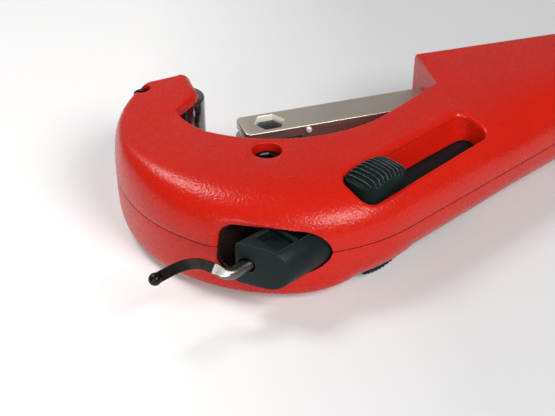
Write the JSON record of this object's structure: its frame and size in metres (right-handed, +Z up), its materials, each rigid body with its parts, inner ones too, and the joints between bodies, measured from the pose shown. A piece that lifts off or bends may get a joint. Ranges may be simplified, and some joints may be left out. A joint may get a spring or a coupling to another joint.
{
  "type": "pipe cutter",
  "caption": "C-frame pipe cutter with guide rollers, a screw-fed cutting-wheel carriage and a thumb-slide swivelling deburrer.",
  "frame": {"origin": "on the flat lower face of the body, straight below the feed axis, 28 mm behind the foot of the handle's front face", "axes": "+X along the feed axis towards the knob, +Y towards the open side of the throat, +Z up through the body's thickness"},
  "size_m": [0.2697, 0.111, 0.0392],
  "materials": {
    "red_coating": "fine-grained satin powder coat",
    "dark_steel": "black oxide",
    "polished_steel": "polished",
    "satin_nickel": "satin nickel plate",
    "tool_steel": "ground",
    "bearing_bronze": "machined",
    "black_plastic": "satin moulded"
  },
  "bodies": {
    "body": {"upper_body_half": "red_coating", "lower_body_half": "red_coating", "tip_screw": "dark_steel", "hook_screw": "dark_steel", "handle_screw_far": "dark_steel", "handle_screw_near": "dark_steel", "tip_roller_axle": "dark_steel", "heel_roller_axle": "dark_steel", "thrust_washer": "bearing_bronze", "spindle_bush": "bearing_bronze", "detent_spring": "satin_nickel"},
    "tip_roller": {"tip_roller": "polished_steel"},
    "heel_roller": {"heel_roller": "polished_steel"},
    "carriage": {"carriage_bar": "satin_nickel", "wheel_bolt": "dark_steel", "stop_pin": "satin_nickel", "feed_nut": "bearing_bronze"},
    "wheel": {"cutting_wheel": "tool_steel"},
    "feed": {"feed_spindle": "polished_steel", "spindle_ring": "polished_steel", "feed_knob": "black_plastic", "knob_screw": "polished_steel"},
    "deburrer": {"deburrer_slider": "black_plastic", "upper_thumb_button": "black_plastic", "lower_thumb_button": "black_plastic", "blade_bush": "bearing_bronze"},
    "blade": {"deburring_blade": "tool_steel"}
  },
  "joints": [
    {"name": "knob_turn", "type": "hinge", "parent": "body", "child": "feed", "pos_m": [0.09, 0, 0.017], "axis": [1, 0, 0], "range_deg": [-720, 4320]},
    {"name": "carriage_feed", "type": "slide", "parent": "body", "child": "carriage", "axis": [1, 0, 0], "range_m": [-0.008, 0.048]},
    {"name": "wheel_spin", "type": "hinge", "parent": "carriage", "child": "wheel", "pos_m": [-0.0905, 0, 0.017], "axis": [0, 0, 1], "continuous": true},
    {"name": "tip_roller_spin", "type": "hinge", "parent": "body", "child": "tip_roller", "pos_m": [-0.1188, 0.0182, 0.017], "axis": [0, 0, 1], "continuous": true},
    {"name": "heel_roller_spin", "type": "hinge", "parent": "body", "child": "heel_roller", "pos_m": [-0.1206, -0.0182, 0.017], "axis": [0, 0, 1], "continuous": true},
    {"name": "deburrer_slide", "type": "slide", "parent": "body", "child": "deburrer", "axis": [0.91, 0.4147, 0], "range_m": [0, 0.042]},
    {"name": "blade_swivel", "type": "hinge", "parent": "deburrer", "child": "blade", "pos_m": [-0.1226, -0.07246, 0.017], "axis": [-0.91, -0.4147, 0], "continuous": true}
  ],
  "couplings": [
    {"joint": "carriage_feed", "follows": "knob_turn", "m_per_rad": 0.00063662}
  ]
}
